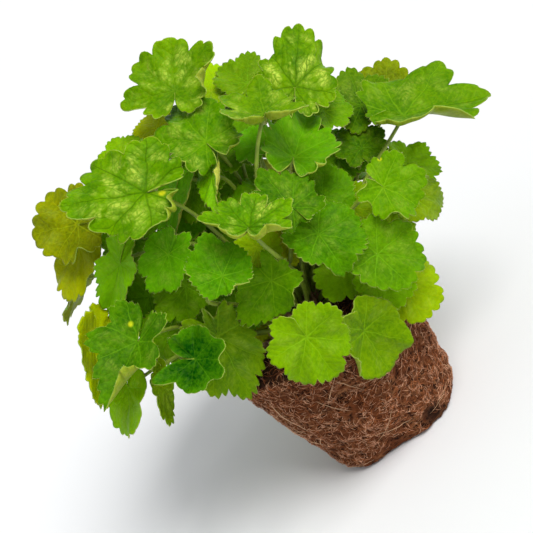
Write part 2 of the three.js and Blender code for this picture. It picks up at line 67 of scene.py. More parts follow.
FRONT_LEAVES = [
    row((-65, 114, 52), 31, 95, (120, 20), "lime", cup=20, base=30, cut="deep",
        lobes=(0.8, 1.1, 0.92, 0.95, 1, 0.9, 0.8), foot=(0, 3)),
    row((-48, 119, 20), 21, 80, (90, 40), "olive"),
    row((-28, 123, 22), 21, 90, (90, 35), "green"),
    row((-3, 117, 48), 39, 86, (90, 20), "lime", wide=0.7, curl=10, cut="deep",
        lobes=(0.8, 0.92, 0.7, 1.04, 0.68, 0.9, 0.78), foot=(0, -3)),
    row((-19, 98, 86), 23, 100, (95, 40), "lime", wide=1.1, cup=15, base=25, cut="deep",
        lobes=(0.85, 1, 1.05, 0.95, 0.72, 1, 0.85), bow=(-6, 18), foot=(-3, 0)),
    row((-48, 86, 68), 33, 130, (120, 25), "lime", wide=0.8, curl=15, cut="deep",
        lobes=(0.55, 0.7, 1.08, 1.02, 0.9, 0.74, 0.64), bow=(15, 12), foot=(0, 3)),
    row((-75, 97, 34), 15, 140, (130, 40), "olive"),
    row((-77, 60, 80), 44, 190, (130, 20), "lime", wide=0.72, curl=10, cut="deep",
        lobes=(0.48, 0.72, 0.78, 1, 0.95, 1, 0.65)),
    row((-92, 79, 45), 17, 121, (120, 40), "green", bow=(-8, 0)),
    row((-64, 62, 50), 33, 248, (210, 45), "green", wide=0.4, curl=10, bow=(0, 12), foot=(-3, 0)),
    row((-118, 46, 34), 30, 190, (170, 28), "olive", wide=0.9,
        lobes=(0.7, 0.62, 0.76, 1, 1, 0.92, 0.8), foot=(0, 3)),
    row((-119, 34, 20), 32, 258, (170, 30), "olive", wide=0.6, curl=10,
        lobes=(0.9, 0.9, 0.8, 1, 1, 0.9, 0.9), bow=(6, 0)),
    row((-93, 25, 50), 30, 250, (200, 40), "dark", wide=0.52, cup=30, fold=0.2,
        lobes=(0.8, 1, 1, 1, 0.95, 0.55, 0.8)),
    row((-110, -19, 36), 33, 278, (0, 65), "olive", wide=0.7, fold=0.2),
    row((-83, -14, 62), 34, 250, (140, 30), "green", wide=0.82, cup=30, fold=0.3,
        lobes=(0.62, 0.55, 0.68, 1.08, 0.7, 0.66, 0.78)),
    row((-90, -40, 40), 28, 268, (180, 55), "green", wide=0.7),
    row((-72, -38, 50), 22, 280, (0, 40), "olive", wide=0.35),
    row((-53, -22, 76), 19, 0, (150, 15), "dark", cup=25, curl=-25,
        lobes=(1.2, 1, 0.78, 0.7, 0.78, 1.12, 1.6), bow=(-18, 6), foot=(0, -3)),
    row((-43, -12, 51), 42, 296, (300, 30), "lime", wide=0.56, fold=0.15,
        lobes=(0.4, 0.62, 0.95, 1, 1, 0.8, 0.4)),
    row((2, -11, 77), 26, 308, (310, 10), "lime", wide=0.95, cup=8,
        lobes=(0.9, 1, 1, 0.94, 0.96, 1, 0.95)),
    row((32, -9, 57), 28, 302, (330, 35), "lime", wide=0.8, fold=0.2),
    row((55, 12, 40), 23, 345, (0, 18), "lime", wide=0.9, bow=(0, 10)),
    row((38, 30, 66), 27, 355, (30, 20), "green", wide=0.85, cup=10,
        lobes=(1, 1, 1, 0.97, 0.95, 0.88, 0.9), bow=(6, 6), foot=(3, 0)),
    row((23, 23, 50), 19, 248, (270, 15), "lime"),
    row((43, 19, 53), 19, 290, (310, 15), "lime", bow=(0, -6), foot=(-3, 0)),
    row((8, 40, 72), 26, 348, (80, 25), "green", wide=0.85, cup=10),
    row((41, 64, 67), 24, 332, (60, 15), "lime", wide=0.95, cup=8,
        lobes=(0.75, 1, 0.96, 0.82, 0.62, 0.57, 0.52), bow=(-10, 0), foot=(-3, 0)),
    row((59, 61, 34), 27, 3, (20, 30), "lime", wide=0.6, curl=30),
    row((58, 79, 16), 23, 0, (45, 35), "green", wide=0.75),
    row((54, 103, 40), 46, 13, (95, 52), "lime", wide=0.68, fold=0.35,
        lobes=(0.52, 0.85, 0.95, 1.06, 1, 0.85, 0.55), bow=(-12, 0), foot=(-3, 0)),
    row((49, 120, 5), 22, 88, (90, 25), "olive"),
    row((34, 111, 20), 24, 110, (90, 30), "green"),
    row((13, 106, 36), 17, 55, (70, 35), "lime"),
    row((-4, 79, 65), 32, 72, (70, 40), "green", wide=0.85, fold=0.45,
        lobes=(0.7, 0.68, 0.72, 1.05, 0.85, 0.65, 0.7), bow=(0, 6)),
    row((-23, 85, 56), 14, 120, (110, 35), "dark"),
    row((-5, 53, 82), 23, 135, (90, 25), "green", wide=0.95, cup=20,
        lobes=(0.5, 0.6, 1, 1.04, 0.88, 0.72, 0.62), foot=(-3, 0), bow=(0, 12)),
    row((-26, 42, 100), 23, 78, (95, 40), "lime", wide=1.1, fold=0.2, base=25, cut="deep",
        lobes=(0.85, 1.1, 0.9, 0.9, 1, 0.95, 0.85), bow=(18, 0), foot=(0, -6)),
    row((-39, 19, 93), 21, 115, (90, 25), "green", wide=0.95, cup=20,
        lobes=(0.6, 0.8, 1, 1.05, 0.95, 0.85, 0.6), bow=(-18, 18), foot=(0, 3)),
    row((-15, 17, 69), 26, 236, (230, 15), "lime", wide=0.78, cup=8,
        lobes=(0.58, 0.64, 0.85, 1, 0.8, 0.46, 0.62)),
    row((-67, 30, 67), 22, 243, (230, 20), "green", wide=0.68, cup=10),
    row((-59, 14, 54), 25, 231, (230, 25), "green", wide=0.7),
    row((-58, 49, 34), 15, 240, (210, 25), "dark", wide=0.8, foot=(-3, 0)),
    row((-45, 69, 66), 19, 275, (150, 45), "dark", wide=0.6),
    row((11, 60, 50), 20, 86, (80, 25), "dark"),
    row((26, 55, 42), 17, 86, (80, 25), "olive"),
    row((33, 87, 30), 17, 98, (90, 30), "dark"),
    row((-23, 34, 56), 15, 290, (90, 25), "olive"),
]
# Small leaves between the stalks.
INNER_LEAVES = [
    row((-55, 68, 44), 21, 265, (170, 30), "green"),
    row((-58, 48, 22), 22, 250, (200, 30), "dark"),
    row((-36, 65, 38), 20, 100, (100, 30), "dark"),
    row((-10, 38, 48), 16, 290, (270, 20), "olive"),
    row((-80, 8, 26), 22, 240, (200, 30), "dark"),
    row((-70, -12, 34), 19, 250, (220, 30), "green"),
    row((-52, -3, 40), 18, 250, (240, 25), "green"),
    row((-87, 38, 18), 24, 200, (180, 30), "dark"),
    row((-32, 3, 30), 17, 260, (260, 20), "dark"),
    row((-32, 85, 44), 20, 100, (100, 30), "green"),
    row((21, 82, 22), 20, 80, (90, 30), "dark"),
    row((18, 52, 34), 18, 60, (60, 25), "dark"),
    row((26, 40, 40), 18, 330, (0, 20), "green"),
    row((-20, 56, 52), 18, 110, (90, 25), "dark"),
    row((-51, 98, 20), 22, 120, (120, 30), "green"),
    row((48, 46, 30), 18, 340, (0, 30), "lime"),
    row((-97, 52, 20), 22, 200, (170, 30), "green"),
    row((0, 97, 25), 19, 90, (90, 30), "green"),
    row((-46, 28, 40), 17, 240, (220, 25), "dark"),
    row((-40, 41, 28), 21, 100, (95, 20), "dark"),
    row((-17, -5, 14), 14, 300, (300, 20), "olive"),
]
# Shoots of the back: bearing, tone, and how far out and how high each leaf's hub is, its droop and
# its span.
BACK_SHOOTS = [
    (16, "green", [(87, 13, 62, 26)]),
    (36, "lime", [(106, 50, 52, 29), (76, 92, 32, 27)]),
    (58, "green", [(100, 32, 58, 28), (100, 76, 42, 27)]),
    (80, "lime", [(108, 52, 50, 30), (66, 96, 30, 28)]),
    (102, "green", [(100, 32, 58, 28), (96, 80, 42, 29)]),
    (124, "lime", [(108, 54, 50, 29), (62, 100, 26, 28)]),
    (144, "green", [(102, 34, 56, 27), (98, 80, 42, 28)]),
    (163, "olive", [(104, 52, 50, 26), (64, 74, 32, 22)]),
]

# The tables below are by the number of the front leaf.
# Margins that roll up and show their pale underside: bearing clockwise from the tip and half width,
# turn of the roll, all in degrees, and where it starts between hub and edge.
ROLLS = {
    1: [(92, 40, 130, 0.4)], 4: [(130, 50, 50, 0.7)], 5: [(150, 60, 95, 0.5), (-150, 60, 95, 0.5)],
    6: [(-100, 40, 50, 0.75), (140, 40, 60, 0.7)], 8: [(-28, 28, 60, 0.82), (-135, 50, 110, 0.62)],
    10: [(90, 70, 60, 0.6), (-90, 70, 80, 0.5)], 14: [(-90, 60, 50, 0.6)],
    15: [(-30, 34, 130, 0.5)], 21: [(80, 55, 110, 0.45)], 26: [(150, 30, 40, 0.7)],
    30: [(100, 60, 60, 0.6)], 34: [(120, 60, 60, 0.75), (-150, 50, 60, 0.75)],
    37: [(140, 65, 100, 0.45), (-150, 60, 80, 0.55)], 38: [(150, 40, 60, 0.6)],
    42: [(-60, 50, 90, 0.6)], 43: [(-85, 75, 130, 0.4)],
}
# How light each leaf is, from the deep colour of its finish (0) to the bright one (1): partly the
# leaf's own tone, partly painted light that lifts leaves lying in shade.
TONE_AND_PAINTED_LIGHT = {
    1: 0.37, 2: 1.5, 3: 0.62, 4: 0.31, 5: 0.29, 6: 0.19, 7: 1.5, 8: 0.37, 9: 1.11, 10: 1.5,
    11: 0.21, 12: 0.85, 13: 1.5, 14: 1.5, 15: 0.18, 16: 1.5, 17: 0.0, 18: -0.01, 19: 0.22, 20: 0.63,
    21: 0.31, 22: 1.02, 23: 0.48, 24: 1.5, 25: 1.5, 26: 0.36, 27: 0.43, 28: 0.38, 29: 1.5, 30: 0.18,
    31: 0.13, 32: 0.14, 33: 0.49, 34: 0.72, 35: 1.5, 36: 0.17, 37: 0.43, 38: 0.51, 39: 0.34,
    40: 0.77, 41: 0.6, 42: 1.5, 43: 1.5, 44: 0.77, 45: 0.51, 46: 0.2, 47: 1.04,
}
# How much redder (above 1) or less red a leaf is than its finish.
REDNESS = {
    2: 0.7, 3: 1.22, 6: 0.87, 8: 0.92, 9: 1.14, 10: 0.7, 11: 1.13, 12: 1.11, 15: 0.94, 16: 1.05,
    17: 0.72, 18: 0.84, 19: 1.14, 21: 1.15, 22: 1.26, 24: 0.86, 25: 0.79, 26: 0.87, 27: 0.88,
    28: 1.31, 29: 1.05, 32: 1.28, 33: 0.89, 34: 0.82, 35: 0.76, 37: 0.85, 38: 0.76, 39: 0.87,
    40: 0.74, 41: 1.06, 42: 0.82, 44: 0.96, 45: 0.7, 46: 1.35, 47: 0.73,
}
# How much lighter a leaf grows from its hub to its margin, as painted shade in the deep bowl of
# leaf 18 and a gentle darkening toward the hub on the others; and how strongly it is marbled.
DARK_HUB, PLAIN_DARK_HUB = {18: 0.6}, 0.2
MOTTLED = {1: 0.65, 4: 1.0, 5: 0.6, 6: 0.5, 8: 0.75, 18: 0.0, 30: 0.3, 37: 0.9}
PLAIN_MOTTLE = 0.2
# Yellow spots: place to the right of the midrib and ahead of the hub, in spans.
SPOTS = {8: (-0.06, -0.19), 15: (0.2, -0.2), 27: (-0.5, -0.33)}
NO_SPOT = (9, 9)
# Leaves whose two lowest lobes leave an open notch. Those of the others lap over each other.
OPEN_NOTCH = {1, 4, 5, 6, 8, 15, 18, 27, 30, 34, 37}
# Leaves with a few broad teeth on each lobe. The others have five small ones.
BROAD_TEETH = {1, 4, 5, 6, 8, 10, 11, 12, 16, 17, 18, 22, 23, 24, 25, 27, 30, 31, 34, 36, 37}
# Leaves cut otherwise than the plain ones: depth of lobes and of teeth, in spans.
OWN_CUTS = {
    5: (0.36, 0.085), 12: (0.16, 0.05), 16: (0.1, 0.05), 18: (0.04, 0.03), 21: (0.05, 0.03),
    22: (0.17, 0.06), 23: (0.16, 0.07), 27: (0.22, 0.07), 30: (0.24, 0.05), 34: (0.26, 0.08),
    37: (0.34, 0.085),
}
# Share of the span that a leaf's tip lobe is shorter.
BLUNT_TIP = {4: 0.1, 8: 0.03, 12: 0.08, 16: 0.12}
# Numbers of the leaves that are in none of these tables. Inner leaves are made coarser.
INNER, BACK = 0, 100
# Seeds, to which the number of an inner leaf or a shoot is added. A front leaf's is its number.
INNER_SEED, BACK_SEED, BALL_SEED = 199, 99, 7

# ---- shape of leaves and stalks ----

# Depth of lobes and of teeth, in spans.
CUTS = {"round": (0.15, 0.08), "deep": (0.25, 0.085)}
# Bearings of the cuts between lobes.
LOBE_EDGES = {
    "open": [-176, -124, -74, -25, 25, 74, 124, 176],
    "lapped": [-186, -126, -75, -25, 25, 75, 126, 184],
}
LOBES = 7
# fuller: how much longer blades are than their spans. taper: how much shorter their sides are than
# their tips. notch_from, notch_to: bearings between which the basal notch deepens. crease: half
# width of a fold. pleat: how deep lobes are folded along their midribs. hub_dip, hub_size: depth
# and size of the navel at the hub. lap: rise of the last lobe over the first, which starts at the
# bearing lap_from and takes lap_over degrees.
BLADE = {
    "thickness": 0.5, "fuller": 1.03, "taper": 0.13, "cut_power": 2.4, "tooth_power": 6,
    "notch": 0.62, "lapped_notch": 0.22, "notch_from": 146, "notch_to": 176, "crease": 1.5,
    "pleat": 0.03, "hub_dip": 0.045, "hub_size": 0.25, "lap": 0.07, "lap_from": 120, "lap_over": 56,
    "ring_power": 0.85, "ripple_power": 2.5,
}
# How unlike each other the cuts, lobes, teeth and lifts of lobes of a leaf are.
UNEVEN = {"cuts": (0.6, 1.35), "lobes": 0.03, "teeth": (0.5, 1.5), "lifts": 0.1}
# Waves round the margin: height in spans and how many. Puckers of the whole blade: height, waves
# across and along, and which of the leaf's four phases each takes.
RIPPLES = [(0.04, (2, 3, 4)), (0.028, (5, 6, 7)), (0.014, (11, 13, 17))]
PUCKERS = [(0.02, 5, 6, 3, 2), (0.01, 11, 10, 1, 0)]
SAMPLES_A_TOOTH = {3: 6, 5: 4}
RINGS = {"full": 13, "inner": 8}
# Hairs: how many on the margin and on the stalk, their width and lengths, how far those of the
# margin stray, and the turns of their three sides.
HAIRS = {"full": (190, 120), "inner": (70, 60)}
HAIR_WIDTH, MARGIN_HAIR, STALK_HAIR, STRAY = 0.11, (0.5, 1.2), (0.6, 1.3), 0.45
HAIR_SIDES = (0.0, 2.094, 4.189)
# foot, neck: radii. spread, shoot: how far out the lowest stalks and those of the back spring.
# rooted: depth of the foot. steep, start, end, hang: how the curve leaves the crown and comes to
# the hub. under, ahead: how far its end lies below the hub and towards the tip.
STALK = {
    "foot": 1.35, "neck": 0.95, "spread": 24, "rooted": 3, "shoot": 19, "steep": 0.62,
    "start": 0.33, "end": 0.3, "under": 0.45, "ahead": 0.3, "hang": 40,
}
CROWN = {"radius": 29, "dome": 7}
# The front view looks down by rise degrees and is rolled by roll degrees.
FRONT = {"rise": 25, "roll": 43}


# ---- node helpers ----

class Finish:
    """A material under construction, with short calls for the nodes it needs."""

    def __init__(self, name, roughness, **sockets):
        self.material = bpy.data.materials.new(name)
        self.material.use_nodes = True
        self.tree = self.material.node_tree
        self.shader = self.tree.nodes["Principled BSDF"]
        for socket, value in {"Roughness": roughness, **sockets}.items():
            self.put(self.shader.inputs[socket.replace("_", " ")], value)

    def put(self, socket, value):
        if isinstance(value, bpy.types.NodeSocket):
            self.tree.links.new(value, socket)
        else:
            socket.default_value = (*value, 1) if socket.type == "RGBA" else value

    def node(self, kind, inputs, **settings):
        node = self.tree.nodes.new("ShaderNode" + kind)
        for setting, value in settings.items():
            setattr(node, setting, value)
        for socket, value in inputs.items():
            self.put(node.inputs[socket], value)
        return node

    def math(self, operation, a, b=0.0):
        return self.node("Math", {0: a, 1: b}, operation=operation).outputs[0]

    def plus(self, a, b):
        return self.math("ADD", a, b)

    def less(self, a, b):
        return self.math("SUBTRACT", a, b)

    def times(self, a, b):
        return self.math("MULTIPLY", a, b)

    def ramp(self, value, low, high, to_low=0.0, to_high=1.0):
        """value carried smoothly from low..high to to_low..to_high."""
        inputs = dict(enumerate((value, low, high, to_low, to_high)))
        return self.node("MapRange", inputs, interpolation_type="SMOOTHSTEP").outputs[0]

    def attribute(self, name):
        return self.node("Attribute", {}, attribute_name=name).outputs["Fac"]

    def place(self):
        return self.node("TexCoord", {}).outputs["Object"]

    def noise(self, where, scale, detail=3.0):
        inputs = {"Vector": where, "Scale": scale, "Detail": detail, "Roughness": 0.55}
        return self.node("TexNoise", inputs).outputs["Fac"]

    def cells(self, where, scale):
        inputs = {"Vector": where, "Scale": scale}
        return self.node("TexVoronoi", inputs, feature="DISTANCE_TO_EDGE").outputs["Distance"]

    def vector(self, x, y):
        return self.node("CombineXYZ", {0: x, 1: y}).outputs[0]

    def mix(self, share, a, b, past=False):
        """From a to b, and with past also a little beyond them."""
        settings = {"data_type": "RGBA", "clamp_factor": not past}
        return self.node("Mix", {0: share, 6: a, 7: b}, **settings).outputs[2]

    def colour(self, value):
        self.put(self.shader.inputs["Base Color"], value)

    def bump(self, height, depth, strength):
        inputs = {"Height": height, "Distance": depth, "Strength": strength}
        self.put(self.shader.inputs["Normal"], self.node("Bump", inputs).outputs[0])


# ---- finishes ----

# Spans across the UV map of a blade.
CHART = 2.6
# spread: turn from midrib to midrib. midrib: half widths at hub and edge. sides: side veins a span.
# stagger, wander, drift: how far they are out of step and out of line. cells: fineness of the net.
VEINS = {
    "spread": math.radians(47.3), "midrib": (0.011, 0.003), "sides": 5.5, "stagger": 0.25,
    "wander": 1.4, "drift": 0.09, "cells": 30.0,
}
MARBLING, YELLOW_SPOT, PALE_RIM = (0.43, 0.56, 0.06), (0.58, 0.6, 0.01), (0.42, 0.5, 0.04)
# Dark soil, also laid as painted shade in the hollow at the foot of the root ball.
UNDERSIDE_VEIN, SOIL_AND_SHADE = (0.40, 0.44, 0.10), (0.012, 0.005, 0.003)
# How the strokes of matted roots run: scale, stretch and lean.
FELT_STROKES = [(520.0, (1, 0.16, 1), 0.6), (470.0, (0.16, 1, 1), -0.5), (610.0, (1, 1, 0.16), 0.4)]


def leaf_veins(finish):
    """The flat leaf's UV, and across and along each lobe's own midrib, in spans."""
    times, plus, less = finish.times, finish.plus, finish.less
    uv = finish.node("UVMap", {}, uv_map="blade").outputs[0]
    split = finish.node("SeparateXYZ", {0: uv})
    drift = times(less(finish.noise(uv, 9.0, 2.0), 0.5), VEINS["drift"])
    x, y = (plus(times(less(split.outputs[k], 0.5), CHART), drift) for k in (0, 1))
    turn = finish.math("ARCTAN2", x, y)
    lobe = finish.math("ROUND", finish.math("DIVIDE", turn, VEINS["spread"]))
    aside = less(turn, times(lobe, VEINS["spread"]))
    length = finish.math("SQRT", plus(times(x, x), times(y, y)))
    across = times(length, finish.math("SINE", aside))
    along = times(length, finish.math("COSINE", aside))
    return uv, across, along


def leaf_finish(name, deep, bright, underside=False):
    """A quilted blade: sunken midribs, side veins and a fine net, and pale marbling between."""
    finish = Finish(name, 0.4, Subsurface_Weight=0.1, Subsurface_Scale=0.001,
                    Specular_IOR_Level=0.07, Specular_Tint=(0.75, 1.0, 0.3))
    times, plus, less, ramp = finish.times, finish.plus, finish.less, finish.ramp
    uv, across, along = leaf_veins(finish)
    place = finish.place()
    tint, mottle, rim = (finish.attribute(field) for field in ("tint", "mottle", "rim"))

    # Midribs, side veins and net.
    off = finish.math("ABSOLUTE", across)
    width = ramp(along, 0.0, 1.0, *VEINS["midrib"])
    midrib = ramp(finish.math("DIVIDE", off, width), 0.6, 1.8, 1.0, 0.0)
    step = less(times(along, VEINS["sides"]), times(off, VEINS["sides"]))
    step = plus(step, times(finish.math("SIGN", across), VEINS["stagger"]))
    step = plus(step, times(finish.noise(uv, 12.0, 2.0), VEINS["wander"]))
    gap = times(finish.math("ABSOLUTE", less(finish.math("FRACT", step), 0.5)), 2.0)
    branch = ramp(gap, 0.87, 0.98)
    cells = finish.cells(uv, VEINS["cells"])
    net = ramp(cells, 0.0, 0.09, 1.0, 0.0)
    vein = finish.math("MAXIMUM", midrib, times(branch, 0.6))
    vein = finish.math("MAXIMUM", vein, times(net, 0.22))

    # The leaf's tone in soft patches and fine grain, partly its own and partly painted highlight
    # and painted shade across the blade.
    patch = ramp(finish.noise(place, 75.0), 0.36, 0.66)
    patch = times(less(patch, 0.5), ramp(mottle, 0.1, 0.9, 0.26, 0.5))
    fine = ramp(finish.noise(place, 560.0), 0.36, 0.64)
    share = plus(plus(patch, less(tint, 0.14)), times(fine, 0.28))
    base = finish.mix(share, deep, bright, past=True)
    if not underside:
        warmth = finish.vector(finish.attribute("redness"), 1.0)
        base = finish.node("VectorMath", {0: base, 1: warmth}, operation="MULTIPLY").outputs[0]

    # Marbling beside the midribs, halfway out.
    inner = ramp(finish.math("ABSOLUTE", less(rim, 0.42)), 0.2, 0.5, 1.0, 0.0)
    cloud = ramp(finish.noise(place, 95.0), 0.44, 0.6)
    feather = finish.vector(times(step, 4.0), times(plus(along, off), 5.0))
    isle = ramp(finish.noise(feather, 1.0, 2.0), 0.36, 0.66, 0.3, 1.0)
    isle = times(isle, ramp(cells, 0.0, 0.2, 0.5, 1.0))
    aside = times(times(cloud, inner), ramp(off, 0.015, 0.09, 0.15, 1.1))
    base = finish.mix(times(aside, times(isle, mottle)), base, MARBLING)

    # Yellow spots, and veins, which are dark on marbled leaves.
    if underside:
        line, strength = UNDERSIDE_VEIN, 0.25
    else:
        spot = {0: uv, 1: finish.vector(finish.attribute("spot_x"), finish.attribute("spot_y"))}
        apart = finish.node("VectorMath", spot, operation="DISTANCE").outputs["Value"]
        base = finish.mix(ramp(apart, 0.006, 0.024, 0.9, 0.0), base, YELLOW_SPOT)
        darker = ramp(mottle, 0.55, 0.75)
        line = finish.mix(darker, [c * 1.25 + 0.01 for c in bright], [c * 0.6 for c in deep])
        strength = plus(ramp(tint, -0.3, 0.6, 0.15, 0.45), times(darker, 0.12))
    base = finish.mix(times(vein, strength), base, line)
    edge = times(ramp(rim, 0.975, 1.0), ramp(mottle, 0.0, 1.0, 0.15, 0.6))
    finish.colour(finish.mix(edge, base, PALE_RIM))

    # Quilting between the veins.
    pillow = less(1.0, times(gap, gap))
    height = plus(times(pillow, 0.7), times(ramp(cells, 0.0, 0.5), 0.3))
    height = times(less(height, times(vein, 0.4)), ramp(mottle, 0.1, 0.9, 0.4, 1.0))
    if underside:
        height = times(height, -0.5)
    finish.bump(plus(height, times(fine, 0.14)), 0.00055, 0.65)
    return finish.material


def plain_finish(name, light, dark, scale, roughness, bump=0.0002):
    finish = Finish(name, roughness)
    grain = finish.noise(finish.place(), scale, 4.0)
    finish.colour(finish.mix(finish.ramp(grain, 0.3, 0.7), dark, light))
    finish.bump(grain, bump, 0.8)
    return finish.material


def strand_finish(name, light, dark):
    """Fibres, each of its own shade."""
    finish = Finish(name, 0.75, Specular_IOR_Level=0.25)
    grain = finish.noise(finish.place(), 900.0, 2.0)
    share = finish.plus(finish.times(finish.attribute("tint"), 0.8), finish.times(grain, 0.2))
    finish.colour(finish.mix(share, dark, light))
    return finish.material


def felt_finish(name, light, dark, tan):
    """The skin of matted roots: short crossing strokes over darker crumbs."""
    finish = Finish(name, 0.95, Specular_IOR_Level=0.1)
    place = finish.place()
    strokes = 0.0
    for scale, pull, lean in FELT_STROKES:
        inputs = {"Vector": place, "Rotation": (lean, lean, 0.7), "Scale": pull}
        turned = finish.node("Mapping", inputs).outputs[0]
        stroke = finish.ramp(finish.noise(turned, scale, 2.0), 0.52, 0.66)
        strokes = finish.math("MAXIMUM", strokes, stroke)
    patch = finish.ramp(finish.noise(place, 60.0, 2.0), 0.35, 0.7)
    crumb = finish.times(finish.ramp(finish.noise(place, 260.0), 0.35, 0.6), 0.8)
    base = finish.mix(crumb, dark, light)
    lit = finish.mix(patch, light, tan)
    colour = finish.mix(finish.times(strokes, 0.75), base, lit)
    # Darker soil on top, and painted shade over the bare compost of the hollow at the foot.
    finish.colour(finish.mix(finish.attribute("soil_and_shade"), colour, SOIL_AND_SHADE))
    finish.bump(finish.plus(strokes, crumb), 0.0006, 0.8)
    return finish.material


TOPS = {
    "lime": leaf_finish("lime leaf", (0.06, 0.17, 0.0), (0.18, 0.35, 0.0)),
    "green": leaf_finish("green leaf", (0.032, 0.12, 0.0), (0.13, 0.31, 0.0)),
    "dark": leaf_finish("deep green leaf", (0.022, 0.1, 0.0), (0.11, 0.29, 0.002)),
    "olive": leaf_finish("olive leaf", (0.12, 0.17, 0.0), (0.30, 0.38, 0.0)),
}
UNDERSIDE = leaf_finish("leaf underside", (0.17, 0.26, 0.005), (0.33, 0.39, 0.04), underside=True)
MARGIN = plain_finish("leaf margin", (0.32, 0.43, 0.03), (0.18, 0.30, 0.01), 400.0, 0.6)
STALK_SKIN = plain_finish("stalk skin", (0.24, 0.34, 0.02), (0.13, 0.2, 0.01), 160.0, 0.5)
HAIR = plain_finish("pale hair", (0.62, 0.68, 0.26), (0.46, 0.54, 0.14), 300.0, 0.6)
ROOT_FELT = felt_finish("root felt", (0.16, 0.046, 0.015), (0.01, 0.003, 0.001), (0.33, 0.14, 0.06))
BROWN_FIBRE = strand_finish("brown fibre", (0.55, 0.17, 0.05), (0.05, 0.01, 0.003))
TAN_ROOT = strand_finish("tan root", (0.98, 0.56, 0.34), (0.29, 0.095, 0.036))
PALE_ROOT = strand_finish("pale root", (0.85, 0.58, 0.36), (0.5, 0.28, 0.14))
BARK = plain_finish("crown bark", (0.12, 0.07, 0.035), (0.025, 0.015, 0.01), 260.0, 0.9, 0.0008)
DRY_SCALE = plain_finish("dry scale", (0.34, 0.2, 0.09), (0.1, 0.05, 0.025), 220.0, 0.75)
PALE_FLOOR = plain_finish("pale floor", (0.86, 0.86, 0.86), (0.84, 0.84, 0.84), 3.0, 0.9, 0.0)


# ---- mesh helpers ----

def mesh_object(name, points, faces, finish):
    mesh = bpy.data.meshes.new(name)
    mesh.from_pydata(np.asarray(points).tolist(), [], faces)
    mesh.update()
    mesh.materials.append(finish)
    mesh.polygons.foreach_set("use_smooth", np.ones(len(mesh.polygons), bool))
    piece = bpy.data.objects.new(name, mesh)
    bpy.context.scene.collection.objects.link(piece)
    return piece


def number_points(piece, name, values):
    """A number for every point of the mesh."""
    field = piece.data.attributes.new(name, "FLOAT", "POINT")
    numbers = np.broadcast_to(values, len(piece.data.vertices))
    field.data.foreach_set("value", numbers.astype(np.float32))


def only(*pieces):
    bpy.ops.object.select_all(action="DESELECT")
    for piece in pieces:
        piece.select_set(True)
    bpy.context.view_layer.objects.active = pieces[0]


def merge_doubles(piece, reach):
    only(piece)
    bpy.ops.object.mode_set(mode="EDIT")
    bpy.ops.mesh.select_all(action="SELECT")
    bpy.ops.mesh.remove_doubles(threshold=reach)
    bpy.ops.object.mode_set(mode="OBJECT")


def solidify(piece, thickness, **settings):
    """Gives the selected sheet its thickness, half to each side."""
    bpy.ops.object.modifier_add(type="SOLIDIFY")
    wall = piece.modifiers[-1]
    wall.thickness = thickness * MM
    wall.offset = 0
    for setting, value in settings.items():
        setattr(wall, setting, value)
    bpy.ops.object.modifier_apply(modifier=wall.name)


def unit(v):
    return v / np.maximum(np.linalg.norm(v, axis=-1, keepdims=True), 1e-9)


def spikes(roots, tips, width):
    """Hairs: a three-sided spike from each root to each tip."""
    along = unit(tips - roots)
    side = unit(np.cross(along, np.where(np.abs(along[:, 2:]) < 0.8, UP, [1.0, 0, 0])))
    other = np.cross(along, side)
    points = []
    for turn in HAIR_SIDES:
        points.append(roots + (side * math.cos(turn) + other * math.sin(turn)) * width / 2)
    points = np.stack([*points, tips], 1).reshape(-1, 3)
    first = np.arange(len(roots))[:, None] * 4
    corners = ([0, 1, 3], [1, 2, 3], [2, 0, 3], [0, 2, 1])
    return points, np.concatenate([first + face for face in corners]).tolist()


def tubes(paths, normals, radius, sides):
    """Thin tubes along paths (tube, point, xyz), tapered to their ends."""
    count, steps, _ = paths.shape
    along = unit(np.gradient(paths, axis=1))
    side = unit(np.cross(along, normals))
    other = np.cross(side, along)
    taper = np.clip(np.sin(np.linspace(0.25, math.pi - 0.25, steps)) * 1.3, 0.3, 1.0)
    radius, taper = radius[:, None, None], taper[None, :, None]
    rings = []
    for k in range(sides):
        turn = 2 * math.pi * k / sides
        rings.append(paths + (side * math.cos(turn) + other * math.sin(turn)) * radius * taper)
    points = np.stack(rings, 2).reshape(-1, 3)
    start = np.arange(count)[:, None] * steps
    ring = (start + np.arange(steps - 1)[None, :]).reshape(-1, 1) * sides
    faces = []
    for k in range(sides):
        n = (k + 1) % sides
        faces.append(np.concatenate([ring + k, ring + k + sides, ring + n + sides, ring + n], 1))
    faces = np.concatenate(faces).tolist()
    faces += (start * sides + np.arange(sides)).tolist()
    faces += ((start + steps - 1) * sides + np.arange(sides)[::-1]).tolist()
    return points, faces


# ---- where each leaf stands ----

def front_axes():
    rise, roll = math.radians(FRONT["rise"]), math.radians(FRONT["roll"])
    right = np.array([1.0, 0, 0])
    up = np.array([0, math.sin(rise), math.cos(rise)])
    across = right * math.cos(roll) - up * math.sin(roll)
    above = right * math.sin(roll) + up * math.cos(roll)
    return across, above, np.array([0, -math.cos(rise), math.sin(rise)])


ACROSS, ABOVE, NEAR = front_axes()


def to_part(x, y, z):
    """Right, up and near in the front view, along the part's own axes."""
    return ACROSS * x + ABOVE * y + NEAR * z


def place_front(leaf):
    """Hub, upper side and midrib of a leaf of the front, in millimetres."""
    way, tilt = (math.radians(a) for a in leaf["face"])
    n = (math.sin(tilt) * math.cos(way), math.sin(tilt) * math.sin(way), math.cos(tilt))
    c, s = math.cos(math.radians(leaf["tip"])), math.sin(math.radians(leaf["tip"]))
    hub = to_part(*leaf["at"]) + UP * BALL_TOP / MM
    return hub, to_part(*n), unit(to_part(c, s, -(n[0] * c + n[1] * s) / n[2]))


def place_back(bearing, out, high, droop):
    """The same for a leaf of the back."""
    turn, lean = math.radians(bearing), math.radians(droop)
    way = np.array([math.cos(turn), math.sin(turn), 0.0])
    hub = way * out + UP * (BALL_TOP / MM + high)
    c, s = math.cos(lean), math.sin(lean)
    return hub, UP * c + way * s, way * c - UP * s


